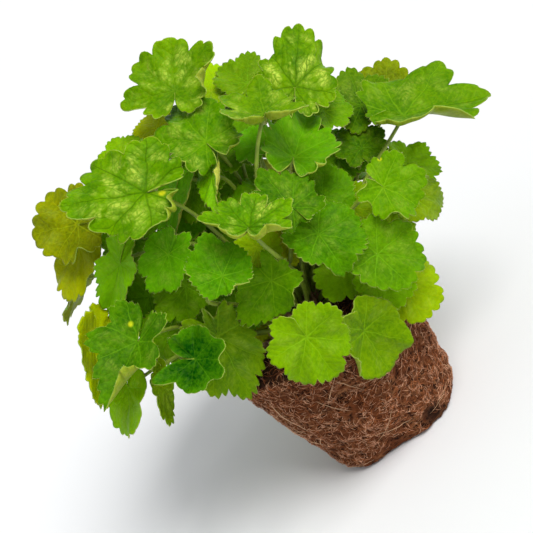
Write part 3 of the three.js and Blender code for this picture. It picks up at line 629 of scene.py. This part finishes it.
def stalk_handles(place, leaf, spring):
    """Foot, two handles and head of the curve that a stalk follows."""
    hub, normal, midrib = place
    rise = hub - UP * BALL_TOP / MM
    way = unit(rise * [1, 1, 0])
    off = math.acos(rise[2] / np.linalg.norm(rise))
    distance = spring or STALK["spread"] * min(off / (math.pi / 2), 1.1) ** 0.8
    start = way * distance + [*leaf.get("foot", (0, 0)), 0]
    dome = CROWN["dome"] * (1 - min(math.hypot(start[0], start[1]) / CROWN["radius"], 1) ** 3)
    start[2] = BALL_TOP / MM + dome - STALK["rooted"]
    lean = off * STALK["steep"]
    out = way * math.sin(lean) + UP * math.cos(lean)
    hang = math.radians(STALK["hang"])
    arrive = normal * math.cos(hang) + midrib * math.sin(hang)
    end = hub - normal * STALK["under"] + midrib * STALK["ahead"]
    length = np.linalg.norm(end - start)
    side, lift = leaf.get("bow", (0, 0))
    belly = np.cross(UP, way) * side + UP * lift
    leaving = start + out * STALK["start"] * length + belly
    return start, leaving, end - arrive * STALK["end"] * length + belly, end


# ---- leaf blade ----

def edge_samples(edges, teeth):
    """Bearing from the tip, lobe, and place within the lobe from -1 to 1, round the blade."""
    bearings, lobes, places = [], [], []
    count = teeth * SAMPLES_A_TOOTH[teeth]
    for k, (low, high) in enumerate(zip(edges, edges[1:])):
        s = np.linspace(-1, 1, count, endpoint=False)
        bearings.append(low + (high - low) * (s + 1) / 2)
        lobes.append(np.full(count, k))
        places.append(s)
    bearings.append([edges[-1]])
    lobes.append([LOBES - 1])
    places.append([1.0])
    return np.concatenate(bearings), np.concatenate(lobes), np.concatenate(places)


def blade_reach(bearing, lobe, place, share, leaf, number, teeth, notch, chance):
    """Length from hub to edge for a span of 1: uneven lobes, their teeth and the basal notch."""
    lobe_cut, tooth = OWN_CUTS.get(number, CUTS[leaf.get("cut", "round")])
    depths = np.array([chance.uniform(*UNEVEN["cuts"]) for _ in range(LOBES + 1)])
    depths = depths[lobe + (place > 0)]
    longs = leaf.get("lobes", [1] * LOBES)
    lengths = np.array([chance.gauss(long - 1, UNEVEN["lobes"]) for long in longs])
    lengths[LOBES // 2] -= BLUNT_TIP.get(number, 0)
    crowns = np.array([chance.uniform(*UNEVEN["teeth"]) for _ in range(teeth * LOBES)])
    crown = crowns[teeth * lobe + np.clip(((place + 1) * teeth / 2).astype(int), 0, teeth - 1)]
    rim = 1 - BLADE["taper"] + BLADE["taper"] * np.cos(np.radians(bearing))
    own = np.cos(math.pi / 2 * place) ** 2
    lobed = 1 - lobe_cut * depths * np.abs(place * share) ** BLADE["cut_power"]
    lobed = lobed + lengths[lobe] * own * share
    basal = (np.abs(bearing) - BLADE["notch_from"]) / (BLADE["notch_to"] - BLADE["notch_from"])
    basal = np.clip(basal, 0, 1)
    wave = np.abs(np.cos(teeth * math.pi / 2 * place))
    cut_in = 1 - wave ** 0.8 if teeth == 3 else 0.75 * (1 - wave) - 0.12 * (wave > 0.99)
    toothed = 1 - tooth * crown * share ** BLADE["tooth_power"] * cut_in
    return rim * lobed * toothed * (1 - notch * basal ** 2)


def roll_margin(x, y, z, bearing, shares, roll):
    """Turns up the margin round one bearing, as a roll."""
    middle, half, angle, start = roll
    near = np.clip(1 - np.abs((bearing - middle + 180) % 360 - 180) / half, 0, 1)[None]
    bend = np.radians(angle) * near * near * (3 - 2 * near) + NIL
    beyond = np.clip((shares - start) / (1 - start), 0, 1)
    radius = np.maximum(np.hypot(x, y), NIL)
    width = (1 - start) * radius[-1:]
    draw = 1 + width * (np.sin(bend * beyond) / bend - beyond) / radius
    return x * draw, y * draw, z + width * (1 - np.cos(bend * beyond)) / bend


def blade_points(leaf, chance, number):
    """Points of the blade's middle skin, by ring and bearing, as shaped and on the flat leaf, and
    their share of the way from hub to edge."""
    span = leaf["span"] * BLADE["fuller"]
    lapped = leaf.get("cut", "round") == "round" and number not in OPEN_NOTCH
    teeth = 3 if number in BROAD_TEETH else 5
    rings = RINGS["inner" if number == INNER else "full"]
    bearing, lobe, place = edge_samples(LOBE_EDGES["lapped" if lapped else "open"], teeth)
    shares = (np.arange(1, rings + 1) / rings) ** BLADE["ring_power"]
    shares = np.concatenate([[0.0], shares])[:, None]
    notch = BLADE["lapped_notch" if lapped else "notch"]
    sides = (bearing[None], lobe[None], place[None])
    length = span * shares * blade_reach(*sides, shares, leaf, number, teeth, notch, chance)
    turn = np.radians(bearing)[None]
    flat_x, y = length * np.sin(turn), length * np.cos(turn)
    flat = np.stack([flat_x, y], -1)
    x = flat_x * leaf.get("wide", 1)
    radius = np.hypot(x, y)
    z = leaf.get("fold", 0) * (np.hypot(x, BLADE["crease"]) - BLADE["crease"])
    z = z - BLADE["pleat"] * np.cos(math.pi * place)[None] * radius
    lifts = np.array([chance.gauss(0, UNEVEN["lifts"]) for _ in range(LOBES)])[lobe]
    own = np.cos(math.pi / 2 * place) ** 2
    z = z + (lifts * own)[None] * radius * shares
    z = z + BLADE["hub_dip"] * span * (1 - np.exp(-radius / (BLADE["hub_size"] * span)))
    lap = np.clip((bearing - BLADE["lap_from"]) / BLADE["lap_over"], 0, 1)[None]
    z = z + BLADE["lap"] * span * lap * shares ** 0.5
    z = z + np.where(y < 0, math.tan(math.radians(leaf.get("base", 0))) * y * y / span, 0)
    phases = [chance.uniform(0, 2 * math.pi) for _ in range(4)]
    ripple = 0
    for phase, (high, counts) in zip(phases, RIPPLES):
        ripple = ripple + high * np.sin(chance.choice(counts) * turn + phase)
    z = z + span * ripple * shares ** BLADE["ripple_power"]
    for high, wide, long, first, second in PUCKERS:
        swell = high * span * np.sin(wide * x / span + phases[first])
        z = z + swell * np.sin(long * y / span + phases[second])
    for roll in ROLLS.get(number, []):
        x, y, z = roll_margin(x, y, z, bearing, shares, roll)
    across = math.radians(leaf.get("cup", 0)) / span or NIL
    along = math.radians(leaf.get("curl", 0)) / span or NIL
    z = z + (1 - np.cos(across * x)) / across - (1 - np.cos(along * y)) / along
    shaped = np.stack([np.sin(across * x) / across, np.sin(along * y) / along, z], -1)
    return shaped, flat, np.broadcast_to(shares, length.shape)


def blade_piece(name, leaf, place, number, chance):
    """The blade, and its outermost two rings of points."""
    hub, normal, midrib = place
    seat = np.stack([np.cross(midrib, normal), midrib, normal])
    shaped, flat, shares = blade_points(leaf, chance, number)
    rows, columns = shares.shape
    rim = shares.ravel()
    bpy.ops.mesh.primitive_grid_add(
        x_subdivisions=columns - 1, y_subdivisions=rows - 1, calc_uvs=False)
    piece = bpy.context.object
    piece.name = name
    skin = shaped @ seat + hub
    piece.data.vertices.foreach_set("co", (skin * MM).astype(np.float32).ravel())
    for finish in (TOPS[leaf["tone"]], UNDERSIDE, MARGIN):
        piece.data.materials.append(finish)
    # Darker at the hub and lighter toward the margin: painted shade in the deep bowl of leaf 18.
    lighter = DARK_HUB.get(number, PLAIN_DARK_HUB) * (rim ** 3 - 0.25)
    # Partly painted light: leaves in no table draw a light tone, which stands in for light shining
    # through the leaves around them.
    shade = TONE_AND_PAINTED_LIGHT.get(number, chance.uniform(0.6, 1.1)) + lighter
    spot_x, spot_y = (0.5 + centre / CHART for centre in SPOTS.get(number, NO_SPOT))
    fields = {
        "rim": rim, "tint": shade, "redness": REDNESS.get(number, 1),
        "mottle": MOTTLED.get(number, PLAIN_MOTTLE), "spot_x": spot_x, "spot_y": spot_y,
    }
    for field, values in fields.items():
        number_points(piece, field, values)
    corners = np.zeros(len(piece.data.loops), np.int32)
    piece.data.loops.foreach_get("vertex_index", corners)
    chart = piece.data.uv_layers.new(name="blade")
    uv = (0.5 + flat.reshape(-1, 2) / (CHART * leaf["span"]))[corners]
    chart.data.foreach_set("uv", uv.astype(np.float32).ravel())
    merge_doubles(piece, 0.000001)
    bpy.ops.object.shade_smooth()
    solidify(piece, BLADE["thickness"], material_offset=1, material_offset_rim=2)
    return piece, skin[-1], skin[-2]


def margin_hairs(edge, inner, chance, count):
    """Roots and tips of hairs that stand out from the margin."""
    spots = np.array([chance.uniform(0, len(edge) - 1.001) for _ in range(count)])
    low = spots.astype(int)
    share = (spots - low)[:, None]
    roots = edge[low] * (1 - share) + edge[low + 1] * share
    out = unit(edge[low] - inner[low])
    drift = np.array([[chance.gauss(0, STRAY) for _ in range(3)] for _ in range(count)])
    lengths = np.array([[chance.uniform(*MARGIN_HAIR)] for _ in range(count)])
    return roots - out * 0.1, roots + unit(out + drift) * lengths


def stalk_hairs(handles, chance, count):
    """Roots and tips of hairs all round the stalk."""
    t = np.array([[chance.uniform(0.06, 0.98)] for _ in range(count)])
    a, b, c, d = handles
    spots = a * (1 - t) ** 3 + b * 3 * t * (1 - t) ** 2 + c * 3 * t * t * (1 - t) + d * t ** 3
    along = unit((b - a) * (1 - t) ** 2 + (c - b) * 2 * t * (1 - t) + (d - c) * t * t)
    drift = np.array([[chance.gauss(0, 1) for _ in range(3)] for _ in range(count)])
    out = unit(drift - along * np.sum(drift * along, 1, keepdims=True))
    radius = STALK["foot"] + (STALK["neck"] - STALK["foot"]) * t
    lengths = np.array([[chance.uniform(*STALK_HAIR)] for _ in range(count)])
    return spots + out * radius * 0.8, spots + out * (radius + lengths) + along * lengths * 0.3


def stalk_piece(name, handles):
    bpy.ops.curve.primitive_bezier_curve_add(enter_editmode=False)
    curve = bpy.context.object
    curve.name = name
    foot, head = curve.data.splines[0].bezier_points
    a, b, c, d = (Vector(h * MM) for h in handles)
    for point in (foot, head):
        point.handle_left_type = point.handle_right_type = "FREE"
    foot.co, foot.handle_right, foot.handle_left = a, b, a - (b - a) * 0.1
    head.co, head.handle_left, head.handle_right = d, c, d + (d - c) * 0.1
    foot.radius, head.radius = 1.0, STALK["neck"] / STALK["foot"]
    curve.data.bevel_depth = STALK["foot"] * MM
    curve.data.bevel_resolution = 2
    curve.data.resolution_u = 22
    curve.data.use_fill_caps = True
    curve.data.materials.append(STALK_SKIN)
    only(curve)
    bpy.ops.object.convert(target="MESH")
    bpy.ops.object.shade_smooth()
    return bpy.context.object


def leaf_pieces(name, leaf, place, number, chance, spring=None):
    """Blade, stalk and hairs of a leaf."""
    blade, edge, inner = blade_piece(name, leaf, place, number, chance)
    handles = stalk_handles(place, leaf, spring)
    stalk = stalk_piece(name + "_stalk", handles)
    on_margin, on_stalk = HAIRS["inner" if number == INNER else "full"]
    fringe = margin_hairs(edge, inner, chance, on_margin)
    down = stalk_hairs(handles, chance, on_stalk)
    roots, tips = (np.concatenate(pair) for pair in zip(fringe, down))
    hairs = mesh_object(name + "_hairs", *spikes(roots * MM, tips * MM, HAIR_WIDTH * MM), HAIR)
    return [blade, stalk, hairs]


# ---- root ball and crown ----

# Where compost has fallen from the foot: its middle and reach, the share of the radius that it
# sinks, how far painted shade darkens it, and how far it is free of roots.
HOLLOW = Vector((0.016, -0.041, 0.007))
HOLLOW_REACH, HOLLOW_SINK, HOLLOW_SHADE, HOLLOW_FREE = 0.011, 0.08, 0.007, 0.009
# Radii within which strands start on the soil, and from which they start on the side.
SOIL_REACH, SIDE_REACH = 0.054, 0.062
# For each kind of strand: finish, how many, length and radius from least to most, height of the
# arch, points along it, share of them on the soil, and how much they wander.
STRANDS = {
    "brown_fibres": (BROWN_FIBRE, 9200, (2, 6.5), (0.09, 0.19), 0.9, 3, 0.16, 0.6),
    "tan_roots": (TAN_ROOT, 7400, (1.5, 6), (0.08, 0.18), 1.2, 3, 0.06, 0.6),
    "pale_roots": (PALE_ROOT, 44, (12, 36), (0.13, 0.23), 1.5, 9, 0.05, 0.16),
}
STRAND_SIDES = 3
# Dry leaf bases: how many, how far out, and their height, half width, lean and rows of points.
SCALES = {
    "count": 150, "reach": 27, "height": (5, 12), "half": (1.2, 2.8), "lean": (0.2, 0.9), "rows": 6,
    "thickness": 0.25,
}


def roughened(name, node, voxel, finish, layers):
    """A copy of a solid with a crumbly skin. voxel: width of its faces. layers: size and depth of
    its lumps. All are in millimetres."""
    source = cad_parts[node]
    copy = source.copy()
    copy.data = source.data.copy()
    copy.name = name
    copy.parent = None
    for key in [key for key in copy.keys() if key.startswith("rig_")]:
        del copy[key]
    bpy.context.scene.collection.objects.link(copy)
    merge_doubles(copy, 0.00001)
    remesh = copy.modifiers.new("even", "REMESH")
    remesh.mode = "VOXEL"
    remesh.voxel_size = voxel * MM
    bpy.ops.object.modifier_apply(modifier=remesh.name)
    for k, (size, depth) in enumerate(layers):
        lumps = bpy.data.textures.new(f"{name} lumps {k}", "CLOUDS")
        lumps.noise_scale = size * MM
        lumps.noise_depth = 2
        push = copy.modifiers.new(f"lumps {k}", "DISPLACE")
        push.texture = lumps
        push.texture_coords = "LOCAL"
        push.strength = depth * MM
        push.mid_level = 0.55
        bpy.ops.object.modifier_apply(modifier=push.name)
    copy.data.materials.clear()
    copy.data.materials.append(finish)
    bpy.ops.object.shade_smooth()
    return copy


def hollowed_and_darkened(piece):
    """Sinks the hollow at the foot, darkens it with painted shade over its bare compost, and
    darkens the soil on top.
    """
    for point in piece.data.vertices:
        point.co.xy *= 1 - HOLLOW_SINK * max(0, 1 - (point.co - HOLLOW).length / HOLLOW_REACH)
        point.co.z = max(point.co.z, 0)
    spots = np.array([tuple(point.co) for point in piece.data.vertices])
    away = np.linalg.norm(spots - np.array(HOLLOW), axis=1)
    # Painted shade in the hollow, over its bare compost.
    hollow = np.clip(1.5 - away / HOLLOW_SHADE, 0, 0.9)
    soil = np.clip((spots[:, 2] - BALL_TOP) / 0.003 + 1.3, 0, 0.85)
    number_points(piece, "soil_and_shade", np.maximum(hollow, soil))


def strands_on(name, carrier, chance, finish, count, length, radius, lift, steps, top, wander):
    """Fibres that lie on the carrier's skin, each bending its own way."""
    paths, normals, radii = [], [], []
    while len(paths) < count:
        turn = chance.uniform(0, 2 * math.pi)
        if chance.random() < top:
            far, height = math.sqrt(chance.random()) * SOIL_REACH, BALL_TOP + 0.004
        else:
            far, height = SIDE_REACH, chance.uniform(0.002, BALL_TOP)
        spot = Vector((far * math.cos(turn), far * math.sin(turn), height))
        _, point, normal, _ = carrier.closest_point_on_mesh(spot)
        if (point - HOLLOW).length < HOLLOW_FREE * chance.random() ** 0.5:
            continue
        heading = chance.uniform(0, 2 * math.pi)
        tangent = normal.orthogonal().normalized()
        way = tangent * math.cos(heading) + normal.cross(tangent) * math.sin(heading)
        run = chance.uniform(*length) * MM / (steps - 1)
        rise = chance.uniform(0.3, 1.0) * lift * MM
        path, norms = [], []
        for k in range(steps):
            arch = math.sin(math.pi * k / (steps - 1))
            path.append(point + normal * (rise * (0.2 + 0.8 * arch)))
            norms.append(normal.copy())
            way = (way + normal.cross(way) * chance.gauss(0, wander) * 0.5).normalized()
            _, point, normal, _ = carrier.closest_point_on_mesh(point + way * run)
            way = (way - normal * way.dot(normal)).normalized()
        paths.append(path)
        normals.append(norms)
        radii.append(chance.uniform(*radius) * MM)
    points, faces = tubes(np.array(paths), np.array(normals), np.array(radii), STRAND_SIDES)
    points[:, 2] = np.maximum(points[:, 2], 0)
    piece = mesh_object(name, points, faces, finish)
    shades = [chance.random() for _ in range(count)]
    number_points(piece, "tint", np.repeat(shades, steps * STRAND_SIDES))
    return piece


def dry_scales(name, chance):
    """Papery brown leaf bases and stipules round the feet of the stalks."""
    points, faces = [], []
    rows = SCALES["rows"]
    for _ in range(SCALES["count"]):
        turn = chance.uniform(0, 2 * math.pi)
        far = math.sqrt(chance.random()) * SCALES["reach"]
        way = np.array([math.cos(turn), math.sin(turn), 0])
        dome = CROWN["dome"] * (1 - (far / CROWN["radius"]) ** 3)
        base = way * far + UP * (BALL_TOP / MM + dome - 1.0)
        spin = turn + chance.gauss(0, 0.7)
        out = np.array([math.cos(spin), math.sin(spin), 0])
        side = np.array([-math.sin(spin), math.cos(spin), 0])
        height, width, lean = (chance.uniform(*SCALES[key]) for key in ("height", "half", "lean"))
        first = len(points)
        for t in np.arange(rows) / (rows - 1):
            spot = base + (out * lean * t * t + UP * t * (1 - 0.3 * lean * t)) * height
            half = width * (1 - t ** 1.6) + 0.06
            points.extend([spot - side * half, spot + out * half * 0.5, spot + side * half])
        for a in range(first, first + 3 * (rows - 1), 3):
            faces.extend([[a, a + 1, a + 4, a + 3], [a + 1, a + 2, a + 5, a + 4]])
    piece = mesh_object(name, np.array(points) * MM, faces, DRY_SCALE)
    only(piece)
    solidify(piece, SCALES["thickness"])
    return piece


# ---- the plant ----

SLOTS = {
    "lime": "lime_leaf", "green": "green_leaf", "dark": "deep_green_leaf", "olive": "olive_leaf",
}


def joined(name, pieces):
    only(*pieces)
    bpy.ops.object.join()
    piece = bpy.context.object
    piece.name = name
    return piece


def finish_piece(piece, slot, *nodes):
    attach(piece, "root")
    if nodes:
        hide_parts(*nodes)


for number, leaf in enumerate(FRONT_LEAVES, 1):
    name = f"front_leaf_{number:02d}"
    parts = leaf_pieces(name, leaf, place_front(leaf), number, random.Random(number))
    finish_piece(joined(name, parts), SLOTS[leaf["tone"]], f"leaf_{number:02d}")

for number, leaf in enumerate(INNER_LEAVES, 1):
    name = f"inner_leaf_{number:02d}"
    chance = random.Random(INNER_SEED + number)
    parts = leaf_pieces(name, leaf, place_front(leaf), INNER, chance)
    finish_piece(joined(name, parts), SLOTS[leaf["tone"]])

for number, (bearing, tone, hubs) in enumerate(BACK_SHOOTS, 1):
    chance = random.Random(BACK_SEED + number)
    parts = []
    for n, (*hub, span) in enumerate(hubs, 1):
        leaf = {"span": span, "tone": tone}
        place = place_back(bearing, *hub)
        parts += leaf_pieces(f"back_{number}_{n}", leaf, place, BACK, chance, STALK["shoot"])
    finish_piece(joined(f"back_shoot_{number:02d}", parts), SLOTS[tone], f"shoot_{number:02d}")

chance = random.Random(BALL_SEED)
ball = roughened("fibrous_root_ball", "root_ball", 1.4, ROOT_FELT, [(9, 2.6), (3, 1.5)])
hollowed_and_darkened(ball)
finish_piece(ball, "compost", "root_ball")
for name, kind in STRANDS.items():
    finish_piece(strands_on(name, ball, chance, *kind), "compost")

crown = roughened("woody_crown", "crown", 0.9, BARK, [(5, 1.6), (1.8, 0.9)])
finish_piece(crown, "woody_crown", "crown")
finish_piece(dry_scales("dry_leaf_bases", chance), "woody_crown")

# ---- floor, light and camera ----

bpy.ops.mesh.primitive_plane_add(size=60)
floor = bpy.context.object
floor.name = "floor"
floor.data.materials.append(PALE_FLOOR)

# The sky pales toward the horizon, where it meets the floor: two heights and its light at each.
SKY = (0.02, 0.45, 1.05, 0.47)
bpy.context.scene.view_settings.view_transform = "Standard"
world = bpy.context.scene.world or bpy.data.worlds.new("studio")
bpy.context.scene.world = world
world.use_nodes = True
sky = world.node_tree
shell = sky.nodes["Background"]
shell.inputs[0].default_value = (0.94, 0.97, 1.0, 1)
height = sky.nodes.new("ShaderNodeSeparateXYZ")
fade = sky.nodes.new("ShaderNodeMapRange")
fade.interpolation_type = "SMOOTHSTEP"
for socket, level in zip(fade.inputs[1:], SKY):
    socket.default_value = level
sky.links.new(sky.nodes.new("ShaderNodeTexCoord").outputs["Generated"], height.inputs[0])
sky.links.new(height.outputs[2], fade.inputs[0])
sky.links.new(fade.outputs[0], shell.inputs[1])

bpy.ops.object.light_add(type="SUN")
key = bpy.context.object
key.name = "key"
key.rotation_mode = "QUATERNION"
key.rotation_quaternion = Vector((0.45, -0.55, 0.85)).to_track_quat("Z", "Y")
key.data.energy = 3.0
key.data.angle = math.radians(32)

# Where the camera stands, from the middle of the crown, and its frame and focal length in pixels.
STAND = (-17.7, 23.8, 650)
FRAME, FOCAL = 533, 1158
bpy.ops.object.camera_add()
camera = bpy.context.object
camera.location = to_part(*STAND) * MM + UP * BALL_TOP
camera.rotation_mode = "QUATERNION"
camera.rotation_quaternion = Matrix((ACROSS, ABOVE, NEAR)).transposed().to_quaternion()
camera.data.sensor_width = 36
camera.data.lens = camera.data.sensor_width * FOCAL / FRAME
bpy.context.scene.camera = camera
